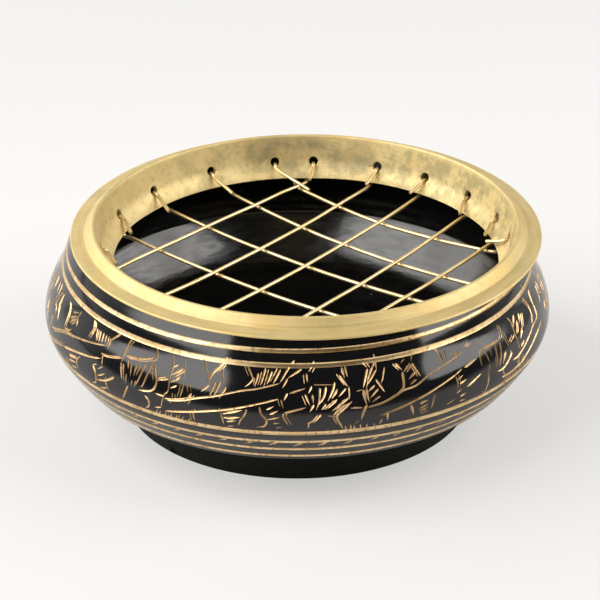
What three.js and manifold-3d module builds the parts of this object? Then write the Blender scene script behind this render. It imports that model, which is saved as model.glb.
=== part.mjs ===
// Charcoal incense burner: a round lacquered bowl on a turned wooden coaster, with a funnel-shaped
// brass ring on its mouth and nine brass wires strung across the ring to carry the charcoal.
// Millimetres, +Z up, origin in the middle of the coaster's underside. Angles are in degrees,
// counterclockwise seen from above, from +X.
import * as THREE from 'three';
import { mergeVertices } from 'three/addons/utils/BufferGeometryUtils.js';
import Module from 'manifold-3d';

const wasm = await Module();
wasm.setup();

// Air left between pieces that rest on, or pass, each other
const clearance = 0.3;

// Coaster
const coasterRadius = 44;
const coasterHeight = 8;
const coasterTopRound = 1.6;
const coasterFootRound = 0.5;

// Bowl, with its heights measured from its own flat foot
const bowlHeight = 36.9;
const mouthRadius = 56.2;
const bellyRadius = 63.3;
const bellyHeight = 18.5;
const footRadius = 40;
const bowlWall = 2;
const mouthWall = 1.2;
const bowlFloor = 2.4;
const mouthEdgeRound = 0.3;

// The bowl's outline, as shares: [how far down from the mouth to the belly, how much of the swell]
const shoulderShape = [[0, 0], [0.2, 0.204], [0.43, 0.416], [0.72, 0.813], [1, 1]];
// and [how far down from the belly to the foot, how far in from the belly to the foot]
const undersideShape = [[0.22, 0.03], [0.42, 0.12], [0.64, 0.248], [0.8, 0.365], [0.925, 0.56], [1, 1]];

// Turned lines round the bowl: how high each lies, as a share of the bowl's height, and its width as
// a share of the broadest one's
const turnedLines = [
  { at: 0.92, share: 0.65 },
  { at: 0.832, share: 0.7 },
  { at: 0.41, share: 1 },
  { at: 0.328, share: 0.5 },
  { at: 0.246, share: 0.5 },
  { at: 0.163, share: 0.4 },
];
const broadLineWidth = 1.7;
const lineDepth = 0.3;

// Ring, with its heights measured from its flat underside
const ringOffset = 2.2;
const flangeOverhang = 2.4;
const flangeWidth = 3.8;
const flangeEdge = 0.7;
const flangeRise = 0.55;
const stepRise = 0.5;
const crestHeight = 3.3;
const crestRound = 0.6;
const crestSlope = 45;
const throatLean = 10.5;
const ringWall = 1.2;
const funnelRound = 6.5;
const funnelTurn = 59;
const lipBevelTurn = 6;
const lipDrop = 7.25;

// Holes drilled square through the funnel
const holeDiameter = 2.4;
const holeDrop = 3.7;

// Wires: the upper five lie over the lower four, and both nets sag in the middle
const wireDiameter = 0.9;
const wireSag = 2;
const hookStations = 6;
const runStations = 9;
const tailReach = 2;

// Each end of a wire goes under the funnel's lip, up behind the funnel, back in through its hole and
// down the inside to a cut tip. hole, lip and tip are angles round the ring, and reach is how far the
// tip stands in past the lip. bow is how far the run is bent sideways in its middle.
const upperWires = [
  { bow: 1.6, ends: [{ hole: 181.5, lip: 185, tip: 186, reach: 0.8 }, { hole: 87.5, lip: 89.5, tip: 88.5, reach: 3 }] },
  { bow: 0, ends: [{ hole: 212, lip: 211, tip: 211 }, { hole: 68, lip: 69.5, tip: 69, reach: 3 }] },
  { bow: 0, ends: [{ hole: 231, lip: 229.5, tip: 230 }, { hole: 52, lip: 52.5, tip: 53, reach: 2.6 }] },
  { bow: 0.5, ends: [{ hole: 251, lip: 252.5, tip: 252 }, { hole: 34.5, lip: 32.5, tip: 30.5 }] },
  { bow: 0.4, ends: [{ hole: 272, lip: 269.5, tip: 270 }, { hole: 17.5, lip: 12.5, tip: 13.5, reach: 1.4 }] },
];
const lowerWires = [
  { bow: -2.7, ends: [{ hole: 99, lip: 93, tip: 88.5, reach: 9.5 }, { hole: 4.5, lip: 9.5, tip: 9 }] },
  { bow: -2.1, ends: [{ hole: 119, lip: 114, tip: 117.5, reach: 7 }, { hole: 340, lip: 344, tip: 343 }] },
  { bow: -1.1, ends: [{ hole: 140.5, lip: 136.5, tip: 144, reach: 4.5 }, { hole: 321, lip: 326.5, tip: 325 }] },
  { bow: -0.4, ends: [{ hole: 159, lip: 159, tip: 164 }, { hole: 300, lip: 304.5, tip: 303 }] },
];

// How finely the round pieces are divided
const roundSides = 72;
const holeSides = 14;
const outsideStations = 18;
const insideStations = 12;
const wireSides = 8;

// Where the pieces meet, worked out from the sizes above
const bowlFoot = coasterHeight + clearance;
const ringBase = bowlFoot + bowlHeight + clearance;
const mouthBore = mouthRadius - mouthWall;
const throatRadius = mouthBore - ringOffset - ringWall - clearance;
const ringRadius = mouthRadius + flangeOverhang;
const funnelCentre = throatRadius - funnelRound;
const funnelStart = funnelRound * sine(funnelTurn) - lipDrop;
const wireGap = wireDiameter / 2 + clearance;
const lipBottom = funnelPoint(funnelRound + ringWall, funnelTurn - lipBevelTurn);
const lipRadius = funnelPoint(funnelRound, funnelTurn).x;
const holeTurn = arcsine((holeDrop + funnelStart) / funnelRound);
const netRadius = lipBottom.x - wireDiameter;

const blackLacquer = new THREE.MeshStandardMaterial({ color: 0x0b0a0b, roughness: 0.12, metalness: 0 });
const agedBrass = new THREE.MeshStandardMaterial({ color: 0xcdb06e, roughness: 0.38, metalness: 1 });
const brightBrass = new THREE.MeshStandardMaterial({ color: 0xe6c67e, roughness: 0.28, metalness: 1 });
const blackWood = new THREE.MeshStandardMaterial({ color: 0x17130f, roughness: 0.75, metalness: 0 });

function sine(degrees) {
  return Math.sin(THREE.MathUtils.degToRad(degrees));
}

function cosine(degrees) {
  return Math.cos(THREE.MathUtils.degToRad(degrees));
}

function arcsine(ratio) {
  return THREE.MathUtils.radToDeg(Math.asin(ratio));
}

// A point of the ring's section: radius from the funnel's bending centre, and the turn down from level
function funnelPoint(radius, turn) {
  return new THREE.Vector2(funnelCentre + radius * cosine(turn), funnelStart - radius * sine(turn));
}

// A quarter round from one direction to another, in a section's plane
function round(centre, radius, fromDegrees, toDegrees, steps) {
  return Array.from({ length: steps + 1 }, (_, i) => {
    const angle = fromDegrees + ((toDegrees - fromDegrees) * i) / steps;
    return new THREE.Vector2(centre.x + radius * cosine(angle), centre.y + radius * sine(angle));
  });
}

// A solid turned from its section, which runs counterclockwise with radius as x and height as y
function turned(section) {
  const geometry = new THREE.LatheGeometry(section, roundSides);
  geometry.rotateX(Math.PI / 2);
  return geometry;
}

function toSolid(geometry) {
  const bare = geometry.index ? geometry.toNonIndexed() : geometry.clone();
  bare.deleteAttribute('normal');
  bare.deleteAttribute('uv');
  const merged = mergeVertices(bare, 1e-5);
  return new wasm.Manifold(new wasm.Mesh({
    numProp: 3,
    vertProperties: new Float32Array(merged.attributes.position.array),
    triVerts: new Uint32Array(merged.index.array),
  }));
}

function toGeometry(solid) {
  const mesh = solid.getMesh();
  const geometry = new THREE.BufferGeometry();
  geometry.setAttribute('position', new THREE.BufferAttribute(new Float32Array(mesh.vertProperties), 3));
  geometry.setIndex(new THREE.BufferAttribute(new Uint32Array(mesh.triVerts), 1));
  geometry.computeVertexNormals();
  return geometry;
}

function makeCoaster() {
  const top = { x: coasterRadius - coasterTopRound, y: coasterHeight - coasterTopRound };
  const foot = { x: coasterRadius - coasterFootRound, y: coasterFootRound };
  return turned([
    new THREE.Vector2(0, 0),
    ...round(foot, coasterFootRound, -90, 0, 2),
    ...round(top, coasterTopRound, 0, 90, 4),
    new THREE.Vector2(0, coasterHeight),
  ]);
}

// The bowl's outer side as a smooth curve, from the foot up to the mouth
function bowlOutline() {
  const swell = bellyRadius - mouthRadius;
  const shoulder = shoulderShape.map(([down, out]) => new THREE.Vector2(
    mouthRadius + swell * out,
    bowlHeight - (bowlHeight - bellyHeight) * down,
  ));
  const underside = undersideShape.map(([down, inward]) => new THREE.Vector2(
    bellyRadius - (bellyRadius - footRadius) * inward,
    bellyHeight * (1 - down),
  ));
  return new THREE.SplineCurve([...shoulder, ...underside].reverse());
}

// Where along the outline a height is reached
function stationAt(outline, height) {
  let low = 0;
  let high = 1;
  for (let i = 0; i < 40; i += 1) {
    const middle = (low + high) / 2;
    if (outline.getPoint(middle).y < height) {
      low = middle;
    } else {
      high = middle;
    }
  }
  return (low + high) / 2;
}

// The outer side's points, with a V cut in for each turned line
function cutOutline(outline, plainStations) {
  const cuts = turnedLines.map(({ at, share }) => {
    const height = bowlHeight * at;
    const halfWidth = (broadLineWidth * share) / 2;
    return {
      from: stationAt(outline, height - halfWidth),
      to: stationAt(outline, height + halfWidth),
      bottom: stationAt(outline, height),
    };
  });
  const plain = Array.from({ length: plainStations + 1 }, (_, i) => i / plainStations)
    .filter((u) => cuts.every(({ from, to }) => u < from - 0.01 || u > to + 0.01));
  const marks = plain.map((u) => ({ u, depth: 0 }));
  cuts.forEach(({ from, to, bottom }) => {
    marks.push({ u: from, depth: 0 }, { u: bottom, depth: lineDepth }, { u: to, depth: 0 });
  });
  marks.sort((a, b) => a.u - b.u);
  return marks.map(({ u, depth }) => inwards(outline, u, depth));
}

// The point that lies a depth inside the outline, square to it
function inwards(outline, u, depth) {
  const along = outline.getTangent(u);
  const point = outline.getPoint(u);
  return new THREE.Vector2(point.x - along.y * depth, point.y + along.x * depth);
}

function makeBowl() {
  const outline = bowlOutline();
  const outside = cutOutline(outline, outsideStations);
  outside[outside.length - 1].y -= mouthEdgeRound;
  const inside = Array.from({ length: insideStations }, (_, i) => {
    const down = i / insideStations;
    const wall = mouthWall + (bowlWall - mouthWall) * Math.min(1, down * 3);
    return inwards(outline, 1 - down, wall);
  }).filter(({ y }) => y > bowlFloor + clearance && y < bowlHeight - clearance);
  const floorEdge = inside[inside.length - 1].x - bowlWall;
  return turned([
    new THREE.Vector2(0, 0),
    ...outside,
    new THREE.Vector2(mouthRadius - mouthEdgeRound, bowlHeight),
    new THREE.Vector2(mouthBore, bowlHeight),
    ...inside,
    new THREE.Vector2(floorEdge, bowlFloor),
    new THREE.Vector2(0, bowlFloor),
  ]);
}

// The ring's section: flange, step, crest, funnel face, lip, funnel back and flat underside
function ringSection() {
  const stepRadius = ringRadius - flangeWidth;
  const stepFoot = flangeEdge + flangeRise;
  const faceSteps = 6;
  const face = Array.from({ length: faceSteps + 1 }, (_, i) =>
    funnelPoint(funnelRound, THREE.MathUtils.lerp(throatLean, funnelTurn, i / faceSteps))
  );
  const leanLength = (crestHeight - crestRound * (1 - sine(throatLean)) - face[0].y) / cosine(throatLean);
  const crest = {
    x: face[0].x + leanLength * sine(throatLean) + crestRound * cosine(throatLean),
    y: crestHeight - crestRound,
  };
  const backTurn = funnelTurn - lipBevelTurn;
  const back = Array.from({ length: 5 }, (_, i) => funnelPoint(funnelRound + ringWall, backTurn * (1 - i / 4)));
  return [
    new THREE.Vector2(ringRadius - flangeEdge * 0.4, 0),
    new THREE.Vector2(ringRadius, flangeEdge * 0.4),
    new THREE.Vector2(ringRadius - flangeEdge * 0.3, flangeEdge),
    new THREE.Vector2(stepRadius + stepRise * 0.3, stepFoot),
    new THREE.Vector2(stepRadius - stepRise * 0.2, stepFoot + stepRise),
    ...round(crest, crestRound, crestSlope, 180 - throatLean, 5),
    ...face,
    ...back,
    new THREE.Vector2(throatRadius + ringWall, 0),
    new THREE.Vector2(ringRadius - flangeEdge * 0.4, 0),
  ];
}

function holeAngles() {
  return [...upperWires, ...lowerWires].flatMap(({ ends }) => ends.map(({ hole }) => hole));
}

function makeRing() {
  const middle = funnelPoint(funnelRound + ringWall / 2, holeTurn);
  const drill = new THREE.CylinderGeometry(holeDiameter / 2, holeDiameter / 2, ringWall * 4, holeSides);
  drill.rotateZ(-Math.PI / 2);
  drill.rotateY(THREE.MathUtils.degToRad(holeTurn));
  let ring = toSolid(turned(ringSection()));
  holeAngles().forEach((angle) => {
    const hole = drill.clone();
    hole.translate(middle.x, 0, middle.y);
    hole.rotateZ(THREE.MathUtils.degToRad(angle));
    ring = ring.subtract(toSolid(hole));
  });
  return toGeometry(ring);
}

function around(angle, { x, y }) {
  return new THREE.Vector3(x * cosine(angle), x * sine(angle), y);
}

// One end of a wire, from its cut tip through the hole to where it passes under the lip
function hookPoints(end, level) {
  const insideRadius = funnelRound - wireGap;
  const outsideRadius = funnelRound + ringWall + wireGap;
  const bend = (outsideRadius - insideRadius) / 2;
  const drop = arcsine(bend / outsideRadius);
  const over = Array.from({ length: hookStations + 1 }, (_, i) => {
    const swing = (180 * i) / hookStations;
    const radius = (insideRadius + outsideRadius) / 2 - bend * cosine(swing);
    return around(end.hole, funnelPoint(radius, holeTurn + drop * (1 - sine(swing))));
  });
  const tip = new THREE.Vector2(lipRadius - (end.reach ?? tailReach), -lipDrop + wireGap);
  const behind = [0.35, 0.7].map((share) => {
    const turn = THREE.MathUtils.lerp(holeTurn + drop, funnelTurn - lipBevelTurn, share);
    return around(THREE.MathUtils.lerp(end.hole, end.lip, share), funnelPoint(outsideRadius, turn));
  });
  const under = around(end.lip, new THREE.Vector2(lipBottom.x + wireGap * 0.4, level + wireGap * 0.15));
  return [around(end.tip, tip), ...over, ...behind, under];
}

// The run between the two lips, bowed sideways and sagging like a net
function runPoints({ bow, ends }, level) {
  const [start, finish] = ends.map(({ lip }) => around(lip, new THREE.Vector2(netRadius, level)));
  const along = finish.clone().sub(start).normalize();
  const side = new THREE.Vector3(-along.y, along.x, 0);
  return Array.from({ length: runStations }, (_, i) => {
    const share = i / (runStations - 1);
    const fullness = 4 * share * (1 - share);
    const point = start.clone().lerp(finish, share).addScaledVector(side, bow * fullness);
    point.z -= wireSag * (1 - (point.x ** 2 + point.y ** 2) / netRadius ** 2);
    return point;
  });
}

// A route whose stations fall on its own points: close round the hooks and far apart along the run
class WireRoute extends THREE.CatmullRomCurve3 {
  getUtoTmapping(u) {
    return u;
  }
}

function makeWire(wire, level) {
  const [first, last] = wire.ends;
  const points = [...hookPoints(first, level), ...runPoints(wire, level), ...hookPoints(last, level).reverse()];
  const section = new THREE.Shape().absarc(0, 0, wireDiameter / 2, 0, 2 * Math.PI);
  return new THREE.ExtrudeGeometry(section, {
    curveSegments: wireSides / 2,
    steps: points.length - 1,
    extrudePath: new WireRoute(points),
    bevelEnabled: false,
  });
}

function named(name, geometry, material) {
  const mesh = new THREE.Mesh(geometry, material);
  mesh.name = name;
  return mesh;
}

function makeBurner() {
  const upperLevel = lipBottom.y - wireGap;
  const lowerLevel = upperLevel - wireDiameter - clearance;
  const burner = new THREE.Group();
  burner.position.z = bowlFoot;
  burner.add(named('bowl', makeBowl(), blackLacquer));
  const rim = new THREE.Group();
  rim.position.set(ringOffset, 0, ringBase - bowlFoot);
  rim.add(named('rim_ring', makeRing(), agedBrass));
  upperWires.forEach((wire, i) => rim.add(named(`upper_wire_${i + 1}`, makeWire(wire, upperLevel), brightBrass)));
  lowerWires.forEach((wire, i) => rim.add(named(`lower_wire_${i + 1}`, makeWire(wire, lowerLevel), brightBrass)));
  burner.add(rim);
  return burner;
}

const incenseBurner = new THREE.Group();
incenseBurner.add(named('coaster', makeCoaster(), blackWood));
incenseBurner.add(makeBurner());

export default incenseBurner;
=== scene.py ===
"""A charcoal incense burner in black lacquer and engraved brass, dressed over its plain solids.

Sizes are in millimetres and angles in degrees, counterclockwise seen from above, from +X, until a
piece is made, which turns them into metres.
"""
import math
import random

import bpy
import numpy as np
from mathutils import Matrix, Vector, geometry, kdtree


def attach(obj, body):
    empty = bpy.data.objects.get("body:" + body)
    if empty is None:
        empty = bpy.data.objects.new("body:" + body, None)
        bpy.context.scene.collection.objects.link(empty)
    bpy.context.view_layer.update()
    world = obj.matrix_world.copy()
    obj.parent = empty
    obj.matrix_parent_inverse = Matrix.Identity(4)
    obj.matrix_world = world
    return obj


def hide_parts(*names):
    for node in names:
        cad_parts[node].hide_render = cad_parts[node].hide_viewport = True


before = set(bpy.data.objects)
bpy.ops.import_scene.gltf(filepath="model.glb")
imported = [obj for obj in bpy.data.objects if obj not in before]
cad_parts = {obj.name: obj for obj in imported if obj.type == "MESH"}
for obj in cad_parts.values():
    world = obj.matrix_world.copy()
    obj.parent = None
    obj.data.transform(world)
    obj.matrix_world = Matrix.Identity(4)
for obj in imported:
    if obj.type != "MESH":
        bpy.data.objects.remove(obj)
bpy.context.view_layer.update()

MM = 0.001

# The direction of the back, where the seams of bowl and coaster lie
BACK = 90

# The bowl's outer side from its mouth down to its foot: radius and height
BOWL_SIDE = [(56.2, 45.2), (57.65, 41.5), (59.15, 37.3), (61.97, 31.95), (63.3, 26.8), (62.6, 22.75),
             (60.5, 19.0), (57.5, 14.8), (54.8, 11.95), (50.25, 9.7), (40.0, 8.3)]
BOWL_WALL = 2.0
MOUTH_WALL = 1.2
BOWL_FLOOR = 10.7

# The carving is measured down the bowl's side from the ring's underside, so far above the mouth
RING_GAP = 0.3

# Turned lines: from, to
TURNED_LINES = [(2.32, 3.42), (5.67, 6.91), (22.3, 23.5), (25.79, 26.79), (29.46, 30.58), (33.32, 34.53)]

# A place dug deeper than this shows brass
LACQUER_DEPTH = 0.006

# Places among a piece's materials
PLAIN, LINE, INSIDE, STROKE = range(4)

# Ring, which sits a little off the bowl's axis
RING_OFFSET = 2.2
RING_BASE = 45.5
RING_RADIUS = 58.6
FLANGE_EDGE = 0.7
CREST_TOP = 48.8
THROAT_RADIUS = 51.3
THROAT_LEAN = 10.5
FUNNEL_ROUND = 6.5
FUNNEL_TURN = 59.0
FUNNEL_CENTRE = (44.8, 43.82)
RING_WALL = 1.2
LIP_DROP = 7.25
HOLE_RADIUS = 1.2
HOLE_TURN = 18.0

# How much of the floor's paleness is its own, where the camera sees it
FLOOR_GLOW = 0.5

# Wires, which are pulled down on to the lower edge of their holes
WIRE_TURN = HOLE_TURN + 5
BEHIND_LIP_TURN = FUNNEL_TURN - 6
WIRE_DIAMETER = 0.94
WIRE_GAP = 0.75
WIRE_SAG = 2.0
NET_LEVEL = {"upper": -8.58, "lower": -9.78}

# Each end of a wire: hole, lip and tip are angles round the ring, and reach is how far the cut tip
# stands in past the lip. The first number is how far the wire's run is bowed sideways.
WIRES = {
    "upper": [
        (1.6, (181.5, 185, 186, 0.8), (87.5, 89.5, 88.5, 3)),
        (0, (212, 211, 211, 2), (68, 69.5, 69, 3)),
        (0, (231, 229.5, 230, 2), (52, 52.5, 53, 2.6)),
        (0.5, (251, 252.5, 252, 2), (34.5, 32.5, 30.5, 2)),
        (0.4, (272, 269.5, 270, 2), (17.5, 12.5, 13.5, 1.4)),
    ],
    "lower": [
        (-2.7, (99, 93, 88.5, 9.5), (4.5, 9.5, 9, 2)),
        (-2.1, (119, 114, 117.5, 7), (340, 344, 343, 2)),
        (-1.1, (140.5, 136.5, 144, 4.5), (321, 326.5, 325, 2)),
        (-0.4, (159, 159, 164, 2), (300, 304.5, 303, 2)),
    ],
}

# The engraver's strokes: a width, then the places that the stroke passes, each as angle,distance
# down the bowl's side. A stroke is broad at its first place and runs out at its last.
FRONT_SPRAY = """
.45 241,18 244.5,17.2 248,15.9 252,14.7 257,12.9 261,12 266.2,10.4
.5 240.5,21 244,20.2 250,18.7 255.5,17.3 262,15.3 266,14
.35 240.4,7.2 241,9.6 240.9,13 241,15.8 240.2,17 239.6,20.3
.45 240.7,13 238,14
.45 240.3,17.3 237.8,17.2
.5 239.7,20.3 237.8,20.8
.75 242.3,9.2 240.8,10.3
.7 243.7,9.8 241.1,12
.7 243.4,11.8 241.2,13.8
.6 243,14 241.3,15.1
.25 243.6,7 244,10 244.3,13
.35 244.2,13 244.4,14.5 244,16.8
.25 245.2,13.2 245.8,15
.4 242.1,15.9 242.3,17.5
.4 242.4,17.3 241.7,18.7
.5 246.7,15 245.2,17.7
.4 247.8,18.6 247.4,20 247.7,22
.4 238.9,22.6 239.5,21.2
.4 240.3,22.6 240.9,21.2
.4 241.7,22.6 242.3,21.2
.4 243,22.6 243.6,21.2
.4 244.5,22.6 245.1,21.2
.4 246,22.6 246.6,21.2
.35 248.5,6.3 249,8.6 249.9,10 249.9,12
.7 254,5.2 252.6,7.2 251,9.2 250.3,10.8 250.2,12.2
.45 250.5,12.3 248.7,14.3
.35 253.7,6.8 253,8.3 253.4,10.5 254,12
.5 251.7,11.2 250.7,15.5
.6 252.8,11 251.6,15.5
.6 254.3,12.2 252.9,15.2
.4 258.6,5.7 258.9,7.2 259.8,9 260,9.8 259.4,10.8 258.4,11.8
.5 260.2,9.2 260.4,11.4
.5 261.2,8.2 260.6,11.6
.5 262.8,6.9 261.8,11.3
.5 264.3,7.6 263.2,10.9
.5 266.2,7.1 264.6,10.6
.5 269.3,5 268,6.8 266.1,10.3
.45 267.8,9.2 266.7,11.5
.5 271,7 267.8,9.2
.6 267.8,12.6 267,14.5
.3 266.4,14.2 267,16.3
.4 268.2,12.7 271.8,11.5
.45 267.2,17.3 271.9,16
.4 267.1,17.4 266.9,18.2 268.1,20.5
.4 253,17.2 253.7,19 254.3,21.5
.4 259.1,16.8 258.9,18 257.8,20 257.4,21.5
.7 254.6,18.3 258.3,17.2
.6 254.8,19.7 257.8,19
.6 254.8,20.5 256.5,20.3
.5 255,21.8 256.5,21.6
.5 261.8,16 262.3,18 263.4,19.3 263,20.8 261.2,21.3
.6 263.3,16.7 265,15.8
.6 264,17.8 266,16.8
.5 264.3,18.9 266.2,18.4
.4 264.8,20.1 266.3,19.8
.35 265.3,21.2 266.8,21
.6 273.8,5.2 272.5,7.8
.4 272,8 272.2,10.3
.8 280,7 280.5,9.8
.5 279.3,8.8 280.2,10.3 281.1,11.8
.35 281.2,11.8 281.2,13.5 281,15
.6 273.1,11 272.3,12.9
.4 271.6,12.9 272.2,14.5 272.6,15.6
.6 273.2,13 273.4,15.2
.6 273.5,15.3 272.5,17.2
.4 274.9,11.5 274.6,14.6 273.9,16.8
.5 276.2,11.3 275.7,13.5 274.4,15.6
.45 278.2,10.4 277.6,12.4 276.4,14.8
.6 278.7,12 277.3,14.3
.6 276.1,15.3 275,16.8
.5 278.5,14.4 276.2,16.6
.4 280.6,12 278.7,14
.4 281,14.2 277.9,17
.4 281,15.5 278.5,18
.25 273.5,10.8 277.8,11
.45 275,17.7 273.6,19.3 272.4,19.8 272.2,21.5
.55 281,15.8 278.3,18.3 279.2,21 279.6,22
.25 276.4,18.2 278.3,18.6
.6 280.3,22.5 280,21
.6 281.3,22.4 281.2,20.8
.6 282.2,22.5 282.1,21.3
"""
RIGHT_SPRAY = """
.6 283.4,22.5 283.3,21
.6 284.7,22.5 284.8,21.1
.6 286.4,22.3 286.3,21.3
.8 288.2,20.5 287.4,21.9
.6 289.3,18.8 289.3,21.3
.5 284.6,5.8 285.9,8
.5 285.9,8 284.4,12.4
.45 287.8,6.7 285.3,11
.45 287.9,8.6 285.3,11.9
.4 287.7,4.8 287.9,6.9 288,8.9
.5 287.5,10.8 289.1,14.1
.3 289.9,8.3 289.1,10.8 288.5,12
.9 284.4,12.7 284.6,15.4 284.9,16.3
.6 284.9,16.3 284.1,18 283.4,20.1
.25 282.8,13 284.3,12.8
.3 281.8,16.7 284.1,17
.5 287.1,12.1 285.3,13.5
.45 287.8,13 285.6,15.1
.4 288.1,14.8 286,16
.3 283.2,20.1 281.8,21
.7 292.6,7.9 294,9.9
.6 294,10.1 293.7,13.3 293.2,14.2 291.9,14.9
.5 295,7.4 293.8,8.2
.65 296,8.9 294.1,10.5
.75 297.1,11 295,12.3
.7 296.9,12.7 295.1,13.6
.6 297.4,5.4 296.6,8.3
.45 296.6,8.6 298.1,12.4
.45 285,17.1 288.8,16.4 293.2,14.6 296.5,14.1 300,12.6 304.7,11.3 307,10.8 310.7,9.9
.5 288.2,19.5 293.2,18.3 296.5,17.4 299.4,16.6 302.4,15.7 306.7,14.4 309,13.6
.6 309.5,13.6 313.8,12.7
.7 294.7,18.3 295.1,19.8 295.4,21.3
.6 296.8,18.6 299,18.2
.5 296.6,19.9 299.1,19.2
.5 296.6,20.5 299.1,20
.5 296.8,21.3 299.1,20.8
.45 300.9,17.1 300.3,18.6 299.6,20.7
.3 303.5,21 306,20.2
.45 302.6,6.2 304,8.3 304.2,11
.5 304.3,8 304.5,11.4
.4 305.7,8 305.3,11
.35 307.7,8.9 307,10.7
.35 309,8.9 308.3,10.4
.8 313,8.5 311,9.1
.5 309.3,18.3 312,17.3 314,16.6
.8 307.2,15.8 308.8,15.1
.7 307.3,16.9 309.5,16.4
.6 306.3,18.9 307.8,18.3
.6 307.2,20.1 309,19.6
.6 307.2,21.3 309.2,21.4
.35 306.8,14.8 307,17.1 306.3,18.9
.4 315.5,8.9 316,10.1
.5 315.8,11.1 314.8,13 314.6,15.4
.4 316.5,11.6 317,13.9 317.2,15.4
.5 317.2,15.4 316.2,17.4 315.8,19.5 315.3,21 314.7,22.4
.5 314,21.3 314.6,22.4
.6 316.3,11.3 318.3,11.4 322.7,11.5
.35 318.5,12 318.3,14.2
.4 320.5,11.9 319.5,17.4
.4 322.3,12 321.5,14.8 320,17.4
.35 319.5,14.5 318.8,17.4
.7 323.3,14.8 321.3,17.3
.5 324.2,8.2 324,10.8 322.8,11.6
.4 324,10.8 324.8,14.5
.55 324.8,15.4 325,16.3 321.7,18.2 319,18.3
.4 321,18.5 321.3,19.8 322.7,21.9
.5 322,22.5 322.3,20.8
.5 323.5,22.5 323.8,20.8
"""
FAR_RIGHT_SPRAY = """
.4 328.2,8.2 329,9.8 328.7,11.6 328.5,14.8 328.8,17.4
.5 328,12.9 325.8,13.7
.7 331.2,8.8 329,11.3
.7 331.5,10.4 329.5,13.2
.7 333.5,9.4 332,11.6
.8 332.3,12.7 330,14.8
.6 331.3,15.7 329.8,16.6
.45 325,18 328,17.9 334,16 338.8,14.3
.5 320.5,20.5 324,20.7 329,20.1 334,18.6 339.7,16.8
.5 325,22.5 325.3,20.8
.5 326.5,22.5 326.8,20.8
.5 328,22.5 328.3,20.8
.5 330,22.5 330.3,20.8
.5 332,22.5 332.3,20.8
.35 328,18 327.5,20
.35 329.5,18.5 330,20.5
.5 338,7.4 339.3,9.9 338.8,12.4 337.2,14.3
.5 343.4,7.7 342.2,10.5 340.9,14.3
.6 334.3,9.9 332.2,13
.5 347.6,10.8 351,13
.4 342.7,8 341.9,10.3 341.9,12.1 340.7,14.4 337.4,14.7 335,15.6 332.7,16.3
.35 337.4,7.8 338.7,10.2 338.8,11.9 338.8,13.4
.5 338.5,12.5 337.1,14.2
.4 351,9.4 350.2,10.9 348.9,11.9
.5 353.1,10.9 352.1,13.2
.35 349,9.5 347.9,11.1 347.3,12.4 345.8,13.4
.4 352.9,14.2 352.4,16.1 349.8,17.4 349.2,18.9 345.8,19.4
.35 349.5,14.5 347.8,16.3
.3 339.3,4.6 340.5,6.8
.5 331.5,11.3 329.7,13.2
.5 328.2,12.8 325.8,13.8
.3 341,14.3 337.3,15 332.9,16.2 329.2,17.7
.3 343,16.3 337.5,17.8 333.8,18.8 330.5,19.7
.4 327.9,17.4 327,19.4 327.7,21.3
.35 330.2,20.2 328.1,20.7 326.2,20.7 323.9,21.2 324.4,22.6
"""
LEFT_SPRAY = """
.6 202,8.5 203.4,10.6 203.9,14.3
.5 208.3,7.7 207.6,10.1 207.1,11.6
.45 204.8,9.6 207,8.8
.5 204.7,11.1 207.6,9.4
.5 205.4,12.1 208.2,9.7
.5 206.3,12.2 208.2,10.7
.5 208,9.8 208.9,11.8
.5 203.9,14.3 206.6,13.7 207.6,12.7
.5 198.1,17.5 205.1,14.7 208.9,14 213.3,13.1 218.4,11.9 221.4,11.1
.7 214.5,7.2 215.3,9 214.4,12
.55 215.5,8.1 215.6,11.6
.45 216.6,8.6 217.7,11.5
.45 218,8.6 218.7,11.4
.45 219.2,8.6 219.7,11.2
.4 220.3,8.8 220.7,10.9
.4 221.2,8.7 221.6,10.6
.5 222.3,9.3 222,11.7
.55 224.8,6.8 222.3,9.3 222,10.4
.6 206.2,18.2 212.3,16.7 216.8,15.7 221.2,14.5
.55 221.4,13.4 223.9,13 227.4,12
.3 221.4,13.3 221.9,16
.3 222.4,16 220.6,17.5
.55 219,17 219.9,18 220.5,19.5 220.3,21 218.5,21.9
.4 218.8,17 220.3,16.3
.45 221,18.9 223.5,17.4
.6 226.4,17.1 223.9,18.9 220.6,20.1
.5 223.7,18 224,19.8 224.9,21.4
.5 221.7,21.9 224.6,20.7
.5 208.1,21.9 208.7,19.8
.55 208.9,18.9 212.8,17.9
.45 209.2,20.1 212.6,19.4
.5 210.3,21.4 212.8,20.7
.45 214,17.1 212.8,18.6 213.3,21
.5 228.1,11.1 232.4,10.5 236,9.2
.45 228.7,6.6 227.8,8.3 227.6,10.4 227.4,13
.5 227.4,13 228,15.1 228.7,17.1
.4 228.1,13 228.9,16
.35 229.2,11.9 229.8,13.9
.35 230.3,12.1 230.8,15.4
.35 231.7,12.1 231.7,15.1
.4 232.8,11.9 232.3,14.8
.45 234,11 233.3,14.8 232.6,17.1
.45 235.6,10.4 234.6,16 233.7,16.9
.35 229.6,15.1 229.9,17.7
.4 231.5,16 231.4,17.7
.4 232.6,15.7 232.2,17.7
.5 236,6.9 236.4,8.9 235.6,10.4
.55 236.2,10.4 237.1,12.7 237.8,14.2 237.6,16 236.4,17.1 233.5,17.8
.4 230.6,17.7 229.8,20.1 228.9,22.1
.55 235.3,18.5 236.4,19.5 236.4,21 235.3,22.1
"""
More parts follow.
